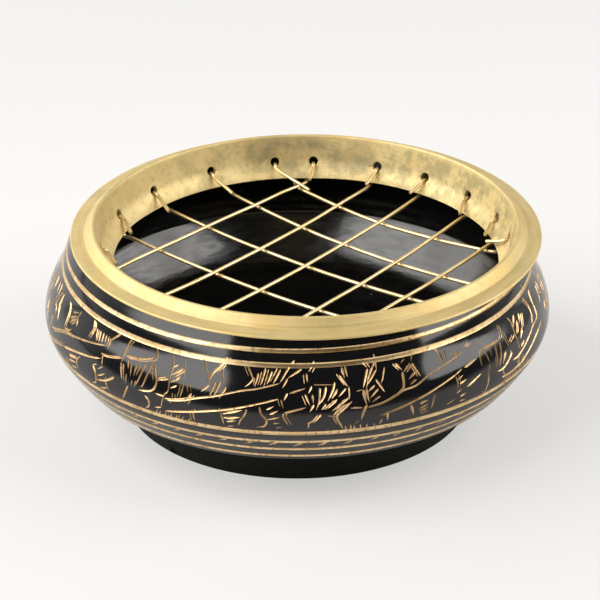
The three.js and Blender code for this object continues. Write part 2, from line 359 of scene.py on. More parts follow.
FAR_LEFT_SPRAY = """
.5 196.3,8.9 196.8,11.9 197.6,11.7 199.4,14.5
.35 194.9,10.4 194.6,12.8 195.5,12.6 196.3,14.2
.5 192.3,7.9 193,10.6 192.4,13.8
.4 190.2,8.4 191.5,11.2
.45 188.3,13 188.5,16.6 192.2,16.3
.4 188.4,14.8 191.6,18.4
.45 186.5,8.6 187.5,11.1 187,13
.5 193.5,21.6 199.3,20.2 206.2,18.2
.4 195,19.3 195.9,17.2 195.2,15.2
.3 187.9,8.4 188,10.1 188.3,11.7
.3 193.8,8.2 193.2,9.7
.35 195.5,8.8 194.1,11 194.1,13
.4 197.1,8.3 196.6,9.7 197.3,11.2 197.2,12.3 198.5,13.3 199.4,14.9
.3 196.4,12.6 196.7,14.1 196.8,16
.6 202.1,8.3 203.4,9.6
.35 196.5,17.9 201.1,16.3 204.9,15
"""

# Chips in the lacquer under the ring
CHIPS = """
.5 250.5,0.9 251.6,1.5
.6 252.6,1.1 253.6,1.9
.4 243.4,1.7 243.9,2.1
"""


def sine(degrees):
    return math.sin(math.radians(degrees))


def cosine(degrees):
    return math.cos(math.radians(degrees))


def blend(low, high, share):
    return low + (high - low) * share


def smooth(points, steps):
    """An even curve through points, with so many steps between each two."""
    inner = np.array(points, float)
    line = np.vstack([2 * inner[0] - inner[1], inner, 2 * inner[-1] - inner[-2]])
    t = (np.arange(steps) / steps)[:, None]
    stretches = []
    for a, b, c, d in zip(line, line[1:], line[2:], line[3:]):
        bend_in, bend_out = 2 * a - 5 * b + 4 * c - d, 3 * b - a - 3 * c + d
        stretches.append(0.5 * (2 * b + (c - a) * t + bend_in * t ** 2 + bend_out * t ** 3))
    return np.vstack(stretches + [inner[-1:]])


def bend(centre, radius, start, finish, steps=12):
    """Points of a round from one direction to another."""
    turns = np.radians(np.linspace(start, finish, steps + 1))
    return [(centre[0] + radius * math.cos(t), centre[1] + radius * math.sin(t)) for t in turns]


def ease_corners(points, radius, steps=6):
    """The line through points with each corner rounded off."""
    line = [Vector(p) for p in points]
    out = [line[0]]
    for before, corner, after in zip(line, line[1:], line[2:]):
        back, ahead = before - corner, after - corner
        reach = min(radius, back.length * 0.45, ahead.length * 0.45)
        start, finish = corner + back.normalized() * reach, corner + ahead.normalized() * reach
        for i in range(steps + 1):
            t = i / steps
            out.append(start * (1 - t) ** 2 + corner * 2 * t * (1 - t) + finish * t ** 2)
    return [tuple(p) for p in out + [line[-1]]]


class Section:
    """An outline of radius and height to be turned round the axis. Seen with the radius to the right,
    the solid's outside lies to the left of the way that the outline runs."""

    def __init__(self, line):
        line = np.array(line, float)
        keep = np.r_[True, np.hypot(*np.diff(line, axis=0).T) > 1e-6]
        self.line = line[keep]
        self.along = np.r_[0, np.cumsum(np.hypot(*np.diff(self.line, axis=0).T))]
        self.length = self.along[-1]
        lean = np.gradient(self.line, self.along, axis=0)
        self.lean = lean / np.linalg.norm(lean, axis=1)[:, None]

    def at(self, distance):
        """Radius and height, and the direction in which the outline runs there."""
        place = [np.interp(distance, self.along, self.line[:, i]) for i in (0, 1)]
        lean = [np.interp(distance, self.along, self.lean[:, i]) for i in (0, 1)]
        size = np.hypot(*lean)
        return place[0], place[1], lean[0] / size, lean[1] / size

    def stations(self, longest, sharpest):
        """Distances along the outline, closer where it bends."""
        turn = np.unwrap(np.arctan2(self.lean[:, 1], self.lean[:, 0]))
        bending = np.r_[0, np.cumsum(np.abs(np.diff(turn)))]
        measure = self.along / longest + bending / math.radians(sharpest)
        count = math.ceil(measure[-1])
        return np.interp(np.linspace(0, measure[-1], count + 1), measure, self.along)


class Stroke:
    """A V-shaped cut on the flat sheet, broad at one end and running out at the other. The slope is
    that of its sides, and the step is how far apart the points of its line are."""

    slope = 0.6
    step = 0.45

    def __init__(self, width, places):
        rough = smooth(places, 8) if len(places) > 2 else np.array(places, float)
        run = np.r_[0, np.cumsum(np.hypot(*np.diff(rough, axis=0).T))]
        count = max(4, math.ceil(run[-1] / self.step))
        spots = np.linspace(0, run[-1], count + 1)
        self.centre = np.stack([np.interp(spots, run, rough[:, i]) for i in (0, 1)], -1)
        share = spots / run[-1]
        start = np.clip(spots / (1.1 * width), 0, 1) ** 0.7
        finish = np.clip((run[-1] - spots) / (2.4 * width), 0, 1) ** 0.8
        self.half = width / 2 * start * finish * (1 - 0.35 * share ** 1.4)
        self.low = self.centre.min(0) - width
        self.high = self.centre.max(0) + width

    def shifted(self, across):
        """The same stroke, so far along the sheet."""
        copy = object.__new__(Stroke)
        move = np.array([across, 0])
        copy.centre, copy.half = self.centre + move, self.half
        copy.low, copy.high = self.low + move, self.high + move
        return copy

    def outline(self):
        lean = np.gradient(self.centre, axis=0)
        lean /= np.linalg.norm(lean, axis=1)[:, None]
        side = np.stack([-lean[:, 1], lean[:, 0]], -1) * self.half[:, None]
        return np.vstack([self.centre + side, (self.centre - side)[-2:0:-1]])

    def depth(self, points):
        """How deep the cut is at each point, and which way it gets deeper."""
        start, finish = self.centre[:-1], self.centre[1:]
        run = finish - start
        gap = points[:, None] - start
        share = np.clip((gap * run).sum(-1) / (run * run).sum(-1), 0, 1)
        gap = gap - run * share[..., None]
        far = np.linalg.norm(gap, axis=-1)
        value = self.half[:-1] + (self.half[1:] - self.half[:-1]) * share - far
        best = value.argmax(1)
        rows = np.arange(len(points))
        away = gap[rows, best] / np.maximum(far[rows, best], 1e-6)[:, None]
        return value[rows, best] * self.slope, -away * self.slope


def read_strokes(text, start=None, squeeze=1.0, hand=None):
    """The strokes of a spray. A copy of it starts at another angle, squeezed a little, and a hand
    that isn't quite the same twice moves every place."""
    lines = [line.split() for line in text.strip().splitlines()]
    first = min(float(place.split(",")[0]) for line in lines for place in line[1:])
    out = []
    for width, *places in lines:
        moved = []
        for place in places:
            angle, down = (float(n) for n in place.split(","))
            if start is not None:
                angle = start + (angle - first) * squeeze + hand.uniform(-0.25, 0.25)
                down = down + hand.uniform(-0.15, 0.15)
            moved.append((angle, down))
        out.append((float(width), moved))
    return out


class Skin:
    """Faces gathered for one piece, with a normal at every corner and a finish for every face."""

    def __init__(self):
        self.points, self.faces, self.normals, self.finishes = [], [], [], []
        self.count = 0

    def add(self, points, faces, normals, finishes):
        """normals has one row for every corner of every face, in turn."""
        self.points.append(np.asarray(points, float))
        self.faces += [[i + self.count for i in face] for face in faces]
        self.normals.append(np.asarray(normals, float))
        self.finishes += list(finishes)
        self.count += len(points)

    def piece(self, name, materials):
        """Points at the same thousandth of a millimetre become one, and faces that this shuts go."""
        points = np.vstack(self.points)
        normals = np.vstack(self.normals)
        keys, where = np.unique(np.round(points * 1000).astype(np.int64), axis=0, return_inverse=True)
        where = where.reshape(-1)
        merged = np.zeros((len(keys), 3))
        merged[where] = points
        faces, corners, finishes = [], [], []
        corner = 0
        for face, finish in zip(self.faces, self.finishes):
            ends = [where[i] for i in face]
            keep = [k for k in range(len(ends)) if ends[k] != ends[k - 1]]
            if len(keep) > 2 and len(set(ends[k] for k in keep)) == len(keep):
                faces.append([int(ends[k]) for k in keep])
                corners += [corner + k for k in keep]
                finishes.append(finish)
            corner += len(face)
        mesh = bpy.data.meshes.new(name)
        mesh.from_pydata((merged * MM).tolist(), [], faces)
        mesh.polygons.foreach_set("material_index", finishes)
        mesh.polygons.foreach_set("use_smooth", [True] * len(faces))
        for material in materials:
            mesh.materials.append(material)
        chosen = normals[corners]
        chosen /= np.linalg.norm(chosen, axis=1)[:, None]
        mesh.normals_split_custom_set(chosen.tolist())
        return put(name, mesh)


def put(name, data):
    """A new object in the scene."""
    obj = bpy.data.objects.new(name, data)
    bpy.context.scene.collection.objects.link(obj)
    return obj


def rolled(section, radius, flat, depth=0.0, move=None):
    """Points of the flat sheet as they lie round the axis, with the directions of the surface."""
    turn = flat[:, 0] / radius
    r, z, lean_r, lean_z = section.at(flat[:, 1])
    r, z = r + depth * lean_z, z - depth * lean_r
    c, s = np.cos(turn), np.sin(turn)
    points = np.stack([r * c, r * s, z], -1)
    if move is not None:
        points = move(points)
    out = np.stack([-lean_z * c, -lean_z * s, lean_r], -1)
    along = np.stack([-s, c, 0 * s], -1)
    across = np.stack([lean_r * c, lean_r * s, lean_z], -1)
    return points, out, along, across


def turn_plain(skin, section, columns, rows, finish=PLAIN, seam=0.0, move=None):
    """Turns an outline with nothing cut in it."""
    turns = np.radians(seam) + np.linspace(0, 2 * math.pi, columns + 1)
    flat = np.array([(t, v) for v in rows for t in turns])
    points, out, _, _ = rolled(section, 1.0, flat, move=move)
    wide = columns + 1
    faces = [
        [j * wide + i, (j + 1) * wide + i, (j + 1) * wide + i + 1, j * wide + i + 1]
        for j in range(len(rows) - 1) for i in range(columns)
    ]
    skin.add(points, faces, out[np.array(faces).reshape(-1)], [finish] * len(faces))


def turn_carved(skin, section, radius, columns, rows, seam, strokes=(), lines=(), holes=(), move=None,
                stroke_finish=LINE):
    """Turns an outline whose surface has strokes and turned lines cut in it and holes through it.
    The surface is laid flat, cut into triangles along every edge of the carving, and rolled up."""
    row_gap, point_gap, weld, smallest_area = 0.35, 0.45, 1e-5, 1e-7
    whole_turn = 2 * math.pi * radius
    left = math.radians(seam) * radius
    right = left + whole_turn
    line_rows = sorted(v for low, high in lines for v in np.linspace(low, high, 5)[[0, 1, 3, 4]])
    plain_rows = [v for v in rows if all(abs(v - w) > row_gap for w in line_rows)]
    heights = sorted(plain_rows + line_rows)
    fixed = set(line_rows) | {heights[0], heights[-1]}
    drawn = []
    for stroke in strokes:
        for shift in (-whole_turn, 0, whole_turn):
            if stroke.high[0] + shift > left and stroke.low[0] + shift < right:
                drawn.append(stroke.shifted(shift))

    points, edges = [], []

    def add_line(places, closed=False):
        first = len(points)
        points.extend(tuple(p) for p in places)
        edges.extend((i, i + 1) for i in range(first, len(points) - 1))
        if closed:
            edges.append((len(points) - 1, first))

    for stroke in drawn:
        add_line(stroke.outline(), closed=True)
        add_line(stroke.centre[1:-1])
    for hole in holes:
        add_line(hole, closed=True)
    near = kdtree.KDTree(max(1, len(points)))
    for i, point in enumerate(points):
        near.insert((point[0], point[1], 0), i)
    near.balance()
    crowded = point_gap if points else 0
    spots = np.linspace(left, right, columns + 1)
    for v in heights:
        if v in fixed:
            add_line([(u, v) for u in spots])
            continue
        for u in spots:
            if u in (left, right) or not crowded or near.find((u, v, 0))[2] > crowded:
                points.append((u, v))
    for u in (left, right):
        add_line([(u, v) for v in heights])

    flat, _, faces, *_ = geometry.delaunay_2d_cdt([Vector(p) for p in points], edges, [], 0, weld)
    flat = np.array([tuple(p) for p in flat])
    faces = np.array(faces)
    middle = flat[faces].mean(1)
    inside = (middle[:, 0] > left) & (middle[:, 0] < right)
    inside &= (middle[:, 1] > heights[0]) & (middle[:, 1] < heights[-1])
    for hole in holes:
        inside &= ~within(middle, np.array(hole))
    a, b, c = (flat[faces[:, i]] for i in range(3))
    area = (b[:, 0] - a[:, 0]) * (c[:, 1] - a[:, 1]) - (b[:, 1] - a[:, 1]) * (c[:, 0] - a[:, 0])
    inside &= np.abs(area) > smallest_area
    faces = np.where(area[:, None] > 0, faces[:, ::-1], faces)[inside]
    middle = middle[inside]

    depth, _ = dig(flat, drawn, lines)
    cut, slope = dig(middle, drawn, lines)
    placed, out, along, across = rolled(section, radius, flat, depth, move)
    corner = faces.reshape(-1)
    bare = cut > LACQUER_DEPTH
    tilt = np.repeat(np.where(bare[:, None], slope, 0), 3, axis=0)
    normals = out[corner] + tilt[:, :1] * along[corner] + tilt[:, 1:] * across[corner]
    on_line = dig(middle, [], lines)[0] > LACQUER_DEPTH
    finishes = np.where(bare, np.where(on_line, LINE, stroke_finish), PLAIN)
    skin.add(placed, faces.tolist(), normals, finishes)


def within(points, ring):
    """Which points lie inside a closed line."""
    inside = np.zeros(len(points), bool)
    close = (points[:, 0] > ring[:, 0].min()) & (points[:, 0] < ring[:, 0].max())
    chosen = points[close]
    state = np.zeros(len(chosen), bool)
    for (x0, y0), (x1, y1) in zip(ring, np.roll(ring, -1, axis=0)):
        crosses = (y0 > chosen[:, 1]) != (y1 > chosen[:, 1])
        if y1 != y0:
            state ^= crosses & (chosen[:, 0] < (x1 - x0) * (chosen[:, 1] - y0) / (y1 - y0) + x0)
    inside[close] = state
    return inside


def dig(points, strokes, lines):
    """How deep the carving is at each point, and which way it gets deeper."""
    depth = np.zeros(len(points))
    slope = np.zeros((len(points), 2))
    order = points[:, 0].argsort()
    sorted_u = points[order, 0]
    for stroke in strokes:
        first, last = np.searchsorted(sorted_u, (stroke.low[0], stroke.high[0]))
        chosen = order[first:last]
        v = points[chosen, 1]
        chosen = chosen[(v > stroke.low[1]) & (v < stroke.high[1])]
        if len(chosen):
            found, way = stroke.depth(points[chosen])
            deeper = found > depth[chosen]
            depth[chosen[deeper]] = found[deeper]
            slope[chosen[deeper]] = way[deeper]
    for low, high in lines:
        half = (high - low) / 2
        off = points[:, 1] - (low + high) / 2
        value = half - np.abs(off)
        found = Stroke.slope * np.minimum(value, half / 2)
        deeper = found > depth
        depth[deeper] = found[deeper]
        way = np.where(value < half / 2, -np.sign(off) * Stroke.slope, 0)
        slope[deeper] = np.stack([0 * way, way], -1)[deeper]
    return depth, slope


def wall_between(skin, front, back):
    """The wall of a hole, between two closed lines with as many points. It faces the hole's middle."""
    count = len(front)
    points = np.vstack([front, back])
    faces = [[i, (i + 1) % count, (i + 1) % count + count, i + count] for i in range(count)]
    ahead = np.roll(front, -1, axis=0) - np.roll(front, 1, axis=0)
    normal = np.cross(ahead, back - front)
    normal /= np.linalg.norm(normal, axis=1)[:, None]
    if (normal * (points.mean(0) - front)).sum() < 0:
        normal = -normal
    first = points[faces[0]]
    if np.cross(first[1] - first[0], first[2] - first[1]) @ normal[0] < 0:
        faces = [face[::-1] for face in faces]
    both = np.vstack([normal, normal])
    skin.add(points, faces, both[np.array(faces).reshape(-1)], [PLAIN] * len(faces))


# Finishes


class Signal:
    """A socket of a shader. Maths on it adds the nodes that do the maths."""

    def __init__(self, finish, socket):
        self.finish, self.socket = finish, socket

    def maths(self, operation, *terms):
        inputs = dict(enumerate(terms))
        return self.finish.make("ShaderNodeMath", {"operation": operation}, inputs)

    def __add__(self, other):
        return self.maths("ADD", self, other)

    def __sub__(self, other):
        return self.maths("SUBTRACT", self, other)

    def __mul__(self, other):
        return self.maths("MULTIPLY", self, other)

    def __truediv__(self, other):
        return self.maths("DIVIDE", self, other)

    def __radd__(self, other):
        return self.maths("ADD", other, self)

    def __rsub__(self, other):
        return self.maths("SUBTRACT", other, self)

    def __rmul__(self, other):
        return self.maths("MULTIPLY", other, self)


class Finish:
    """The nodes of one finish, for a material or for the world."""

    def __init__(self, owner):
        owner.use_nodes = True
        self.tree = owner.node_tree
        self.tree.nodes.clear()

    def make(self, kind, settings=None, inputs=None, output=0):
        node = self.tree.nodes.new(kind)
        for key, value in (settings or {}).items():
            if key == "stops":
                ramp = node.color_ramp
                while len(ramp.elements) < len(value):
                    ramp.elements.new(0.5)
                for element, (place, colour) in zip(ramp.elements, value):
                    element.position, element.color = place, (*colour, 1)
            else:
                setattr(node, key, value)
        for key, value in (inputs or {}).items():
            if isinstance(value, Signal):
                self.tree.links.new(value.socket, node.inputs[key])
            else:
                node.inputs[key].default_value = value
        return Signal(self, node.outputs[output]) if node.outputs else None

    def place(self):
        return self.make("ShaderNodeTexCoord", output="Object")

    def parts(self, vector):
        first = self.make("ShaderNodeSeparateXYZ", inputs={0: vector})
        return [Signal(self, socket) for socket in first.socket.node.outputs]

    def noise(self, size, vector=None, detail=2.0, rough=0.5):
        """Cloudy noise with features of about that size in millimetres."""
        inputs = {"Scale": 1 / (size * MM), "Detail": detail, "Roughness": rough}
        return self.make("ShaderNodeTexNoise", inputs={"Vector": vector or self.place(), **inputs})

    def rings(self, place, around, climb, across):
        """A vector for noise that is drawn out into rings round the axis, and the place's radius.
        The three numbers are how fast the noise changes round the axis, up and in all across."""
        x, y, z = self.parts(place)
        flat = self.make("ShaderNodeCombineXYZ", inputs={0: x, 1: y})
        radius = self.make("ShaderNodeVectorMath", {"operation": "LENGTH"}, {0: flat}, output=1)
        heading = self.parts(self.make("ShaderNodeVectorMath", {"operation": "NORMALIZE"}, {0: flat}))
        vector = self.make("ShaderNodeCombineXYZ", inputs={
            0: heading[0] * around, 1: heading[1] * around, 2: (radius + z * climb) * across,
        })
        return vector, radius

    def step(self, signal, low, high):
        """0 below low, 1 above high, and smooth between."""
        inputs = {"Value": signal, "From Min": low, "From Max": high}
        return self.make("ShaderNodeMapRange", {"interpolation_type": "SMOOTHSTEP"}, inputs)

    def mix(self, share, low, high):
        """Between two colours."""
        inputs = {0: share, 6: solid(low), 7: solid(high)}
        return self.make("ShaderNodeMix", {"data_type": "RGBA"}, inputs, output=2)

    def specks(self, spacing, size, share):
        """Small round spots, a few to the spacing, of about that radius, on that share of places."""
        inputs = {"Vector": self.place(), "Scale": 1 / (spacing * MM)}
        near = self.make("ShaderNodeTexVoronoi", inputs=inputs)
        chance = self.parts(self.make("ShaderNodeTexVoronoi", inputs=inputs, output="Color"))
        reach = size / spacing * (0.4 + 1.2 * chance[1])
        spot = self.step(near / reach, 1.0, 0.7)
        return spot * self.step(chance[0], 1 - share, 1 - share + 0.01)

    def bump(self, height, depth, under=None):
        """A bump as deep as that in millimetres where the height is 1."""
        inputs = {"Height": height, "Distance": depth * MM, "Strength": 1.0}
        if under:
            inputs["Normal"] = under
        return self.make("ShaderNodeBump", inputs=inputs)

    def surface(self, **sockets):
        shader = self.make("ShaderNodeBsdfPrincipled", inputs={
            key.replace("_", " "): solid(value) for key, value in sockets.items()
        })
        self.make("ShaderNodeOutputMaterial", inputs={0: shader})


def solid(value):
    """A colour of three parts gets its fourth."""
    return (*value, 1) if isinstance(value, tuple) and len(value) == 3 else value


def new_finish(name):
    material = bpy.data.materials.new(name)
    return material, Finish(material)


def make_lacquer():
    material, f = new_finish("black_lacquer")
    dust = f.specks(3.2, 0.13, 0.35)
    sag = f.noise(9, detail=1)
    orange_peel = f.noise(1.6, detail=1)
    smear = f.step(f.noise(14, detail=3, rough=0.6), 0.5, 0.75)
    under = f.bump(sag, 0.05)
    f.surface(
        Base_Color=f.mix(dust, (0.0055, 0.0052, 0.0055), (0.22, 0.2, 0.18)),
        Roughness=0.1 + 0.06 * smear + 0.4 * dust,
        Specular_IOR_Level=0.54,
        Normal=f.bump(orange_peel, 0.005, under=under),
    )
    return material


def make_inner_lacquer():
    """The lacquer inside was put on with a brush while the bowl was turning, and wasn't polished."""
    material, f = new_finish("brushed_lacquer")
    brushing, _ = f.rings(f.place(), 0.03, 1.5, 1)
    strokes = f.noise(2.6, brushing)
    dust = f.specks(5, 0.16, 0.3)
    f.surface(
        Base_Color=f.mix(dust, (0.004, 0.004, 0.004), (0.25, 0.22, 0.19)),
        Roughness=0.15 + 0.1 * f.step(strokes, 0.4, 0.65) + 0.4 * dust,
        Specular_IOR_Level=0.85,
        Normal=f.bump(strokes + 1.5 * f.noise(11, detail=1), 0.04),
    )
    return material


def make_cut_brass(name, clean, dull, roughness):
    material, f = new_finish(name)
    tone = f.step(f.noise(5), 0.35, 0.7)
    lacquer_left = f.step(f.noise(0.9), 0.54, 0.7)
    bright = f.mix(tone, clean, dull)
    f.surface(
        Base_Color=f.mix(lacquer_left * 0.65, bright, (0.2, 0.12, 0.05)),
        Metallic=1.0,
        Roughness=roughness + 0.2 * lacquer_left,
        Normal=f.bump(f.noise(0.35), 0.01),
    )
    return material


def make_aged_brass():
    material, f = new_finish("aged_brass")
    shift = {0: f.place(), 1: (RING_OFFSET * MM, 0, 0)}
    centred = f.make("ShaderNodeVectorMath", {"operation": "SUBTRACT"}, shift)
    x, y, _ = f.parts(centred)
    turning, radius = f.rings(centred, 0.012, 0.7, 1.6)
    streaks = f.noise(0.55, turning, detail=3, rough=0.6)
    broad_streaks = f.noise(2.4, turning)
    cloud = f.noise(9, detail=3, rough=0.6)
    mottle = f.noise(1.3, detail=4, rough=0.65)
    grain = f.noise(0.4, rough=0.6)
    casting = f.step(radius, (THROAT_RADIUS + 1.1) * MM, (THROAT_RADIUS + 0.6) * MM)
    turned = 1 - casting
    bright = (0.80, 0.65, 0.33)
    warm = (0.74, 0.56, 0.24)
    green = (0.62, 0.53, 0.26)
    dark = (0.30, 0.23, 0.10)
    base = f.mix(f.step(broad_streaks * turned + cloud * casting, 0.35, 0.65), bright, warm)
    base = f.mix(f.step(cloud, 0.48, 0.7) * 0.7, base, green)
    base = f.mix(f.step(mottle, 0.52, 0.75) * (0.1 + 0.4 * casting), base, dark)
    base = f.mix(f.step(streaks, 0.56, 0.75) * turned * 0.3, base, (0.55, 0.42, 0.19))
    # Tarnish patches on the funnel, kept to its right and back half only, where they also paint shade
    # that darkens that side
    tarnish_and_side_shade = casting * f.step(x + y * 0.6, -0.03, 0.03)
    tarnish_and_side_shade = tarnish_and_side_shade * f.step(f.noise(4.5, detail=4, rough=0.7), 0.42, 0.62)
    base = f.mix(turned * 0.25, base, (0.5, 0.36, 0.14))
    base = f.mix(tarnish_and_side_shade * 0.6, base, (0.36, 0.32, 0.18))
    # Painted shade: a dark band on the back of the funnel just under the crest
    back_crest_shade = casting * f.step(y, 0.047, 0.0495) * f.step(f.noise(12, detail=3), 0.4, 0.6)
    base = f.mix(back_crest_shade * 0.35, base, (0.25, 0.2, 0.12))
    pits = f.specks(4.5, 0.16, 0.4)
    base = f.mix(pits * 0.8, base, (0.06, 0.04, 0.02))
    height = streaks * turned * 0.5 + grain * (0.4 + 0.6 * casting) + mottle * casting * 0.8 - pits
    f.surface(
        Base_Color=base,
        Metallic=0.66 - 0.16 * casting,
        Roughness=0.55 + 0.1 * f.step(mottle, 0.4, 0.7),
        Normal=f.bump(height, 0.03),
    )
    return material


def make_wire_brass():
    material, f = new_finish("bright_brass")
    tone = f.step(f.noise(6), 0.35, 0.68)
    draw_marks = f.noise(0.5)
    f.surface(
        Base_Color=f.mix(tone, (0.95, 0.78, 0.46), (0.86, 0.65, 0.32)),
        Metallic=0.9,
        Roughness=0.33 + 0.1 * f.step(draw_marks, 0.4, 0.7),
        Normal=f.bump(draw_marks, 0.01),
    )
    return material


def make_black_wood():
    material, f = new_finish("black_wood")
    fine = f.noise(0.5, detail=3, rough=0.6)
    worn = f.step(f.noise(7, detail=3, rough=0.65), 0.58, 0.8)
    dust = f.specks(2.6, 0.12, 0.3)
    base = f.mix(worn * 0.5, (0.006, 0.006, 0.0045), (0.015, 0.014, 0.011))
    f.surface(
        Base_Color=f.mix(dust * 0.5, base, (0.16, 0.14, 0.12)),
        Roughness=0.62 - 0.12 * worn,
        Specular_IOR_Level=0.22,
        Normal=f.bump(fine, 0.05),
    )
    return material


def make_raw_wood():
    material, f = new_finish("chipped_wood")
    f.surface(
        Base_Color=f.mix(f.noise(0.4), (0.30, 0.22, 0.15), (0.5, 0.42, 0.33)),
        Roughness=0.8 + 0.1 * f.noise(0.5),
    )
    return material


def make_floor_finish():
    material, f = new_finish("pale_floor")
    soft = f.noise(160)
    specks = f.specks(34, 0.3, 0.5) * 0.35
    base = f.mix(f.step(soft, 0.3, 0.7), (0.76, 0.745, 0.732), (0.735, 0.72, 0.707))
    base = f.mix(specks, base, (0.4, 0.36, 0.31))
    along, away, _ = f.parts(f.place())
    # Painted shade: the floor's lit colour darkens towards the back, sooner on the left
    base = f.mix(f.step(away - 0.25 * along, 0.06, 0.3), base, (0.66, 0.65, 0.64))
    lit = f.make("ShaderNodeBsdfPrincipled", inputs={
        "Base Color": base, "Roughness": 0.62 + 0.1 * soft, "Specular IOR Level": 0.3,
    })
    paper = f.make("ShaderNodeEmission", inputs={"Color": (0.95, 0.943, 0.927, 1), "Strength": 1.0})
    seen = f.make("ShaderNodeLightPath", output="Is Camera Ray")
    both = f.make("ShaderNodeMixShader", inputs={0: seen * FLOOR_GLOW, 1: lit, 2: paper})
    f.make("ShaderNodeOutputMaterial", inputs={0: both})
    return material


# Pieces


def tip_surface(section, degrees):
    """Turns the surface of a section a little, so that it mirrors what lies higher, or with less than
    none what lies lower."""
    lift = np.radians(degrees)
    lean = section.lean.copy()
    section.lean[:, 0] = lean[:, 0] * np.cos(lift) - lean[:, 1] * np.sin(lift)
    section.lean[:, 1] = lean[:, 0] * np.sin(lift) + lean[:, 1] * np.cos(lift)


def bowl_inside(outer):
    """The inside of the bowl, from the flat of its floor out and up to the mouth. Down to a place this
    far along the outside, the wall follows the outside."""
    wall_end, floor_edge = 26.5, (48.5, BOWL_FLOOR + 1.4)
    spots = np.linspace(wall_end, 0, 40)
    r, z, lean_r, lean_z = outer.at(spots)
    thick = np.minimum(BOWL_WALL, MOUTH_WALL + spots / 14)
    wall = [tuple(p) for p in np.stack([r + thick * lean_z, z - thick * lean_r], -1)]
    floor = [(30, BOWL_FLOOR), (41, BOWL_FLOOR + 0.15), floor_edge]
    between = [(blend(floor_edge[0], wall[0][0], 0.55), blend(floor_edge[1], wall[0][1], 0.45))]
    return Section(smooth(floor + between + wall[::4], 10))


def engraving():
    """All strokes round the bowl, each a width and its places. The sprays at the back are copies of
    those that the photo shows, some strokes have a thin companion, and a band of ticks closes them."""
    hand = random.Random(41)
    strokes = []
    for spray in (FRONT_SPRAY, RIGHT_SPRAY, FAR_RIGHT_SPRAY, LEFT_SPRAY, FAR_LEFT_SPRAY):
        strokes += read_strokes(spray)
    spray_width, pitch, copies_start, overlap = 42, 38.8, 352, 1.5
    for i, spray in enumerate((FRONT_SPRAY, RIGHT_SPRAY, LEFT_SPRAY, FRONT_SPRAY, RIGHT_SPRAY)):
        strokes += read_strokes(spray, copies_start + pitch * i - overlap, pitch / spray_width, hand)
    companion_share, companion_width = 0.3, 0.45
    for width, places in strokes[:]:
        if hand.random() < companion_share:
            aside, down = hand.choice((-0.7, 0.7)), hand.uniform(-0.4, 0.4)
            strokes.append((width * companion_width, [(a + aside, d + down) for a, d in places[:3]]))
    strokes += read_strokes(CHIPS)
    ticks, tick_width, tick_reach = 64, 0.75, 1.1
    for i in range(ticks):
        angle = 270 + 360 / ticks * i + hand.uniform(-0.3, 0.3)
        end = (angle - tick_reach, 28.3 + hand.uniform(-0.15, 0.15))
        strokes.append((tick_width, [(angle + tick_reach, 26.9), end]))
    wider = 0.05
    return [(width + wider, places) for width, places in strokes]


def make_bowl(materials):
    """The materials are those of the outside, the turned lines, the inside and the strokes."""
    unroll, columns = 60.0, 240
    neck_tip, neck_end, neck_fade, inside_tip = 5.5, 10, 4, 4.0
    outer = Section(smooth(BOWL_SIDE, 60))
    tip_surface(outer, neck_tip * np.clip((neck_end - outer.along) / neck_fade, 0, 1))
    strokes = [
        Stroke(width, [(math.radians(angle) * unroll, down + RING_GAP) for angle, down in places])
        for width, places in engraving()
    ]
    skin = Skin()
    lines = [(low + RING_GAP, high + RING_GAP) for low, high in TURNED_LINES]
    rows = list(outer.stations(1.25, 6))
    turn_carved(skin, outer, unroll, columns, rows, BACK, strokes, lines, stroke_finish=STROKE)
    inside = bowl_inside(outer)
    tip_surface(inside, inside_tip)
    turn_plain(skin, inside, columns, inside.stations(2.0, 6), INSIDE, BACK)
    floor_radius, floor_height = inside.at(0)[:2]
    floor = Section([(0, BOWL_FLOOR), (floor_radius, floor_height)])
    turn_plain(skin, floor, columns, [0, 10, 20, floor_radius], INSIDE, BACK)
    lip = [tuple(inside.at(inside.length)[:2]), tuple(outer.at(0)[:2])]
    turn_plain(skin, Section(lip), columns, [0, math.dist(*lip)], PLAIN, BACK)
    foot = [(40, 8.3), (39.2, 8.45), (37, 8.55), (36.4, 9.1), (20, 9.2), (0.0, 9.2)]
    under = Section(ease_corners(foot, 0.3))
    turn_plain(skin, under, columns, under.stations(6, 15), PLAIN, BACK)
    return skin.piece("lacquered_bowl", materials)


